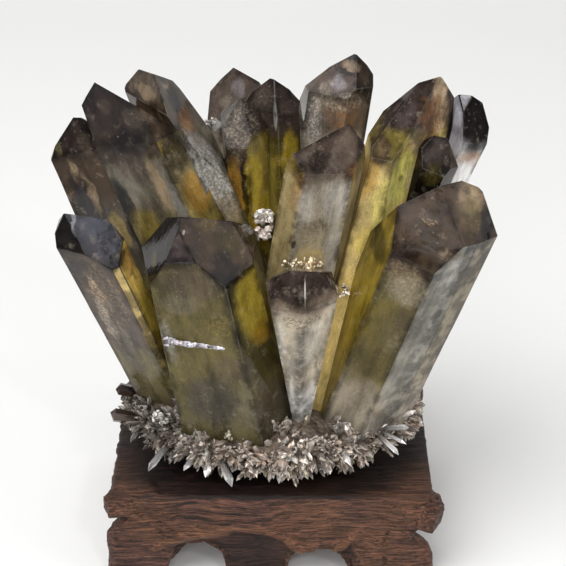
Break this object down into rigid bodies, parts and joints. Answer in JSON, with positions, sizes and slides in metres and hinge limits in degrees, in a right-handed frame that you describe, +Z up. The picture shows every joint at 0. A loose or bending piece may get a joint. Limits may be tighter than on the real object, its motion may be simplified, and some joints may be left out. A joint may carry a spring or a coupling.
{
  "type": "mineral specimen",
  "caption": "Smoky morion quartz cluster of large leaning six-sided points on a druse crust, resting on a carved wooden stand with feet and arches.",
  "frame": {"origin": "middle of the whole object's box, on the surface that the stand rests on", "axes": "+Z up, -Y towards the front of the stand, +X to the right seen from the front"},
  "size_m": [0.1662, 0.1258, 0.1964],
  "materials": {
    "smoky_quartz": "glossy smoky quartz, dark at the tips and olive-yellow below, with a pale sparkling druse at the base",
    "carved_wood": "dark reddish-brown hardwood, fine grain, satin polish"
  },
  "bodies": {
    "root": {"quartz_cluster": "smoky_quartz", "display_stand": "carved_wood"}
  },
  "joints": []
}
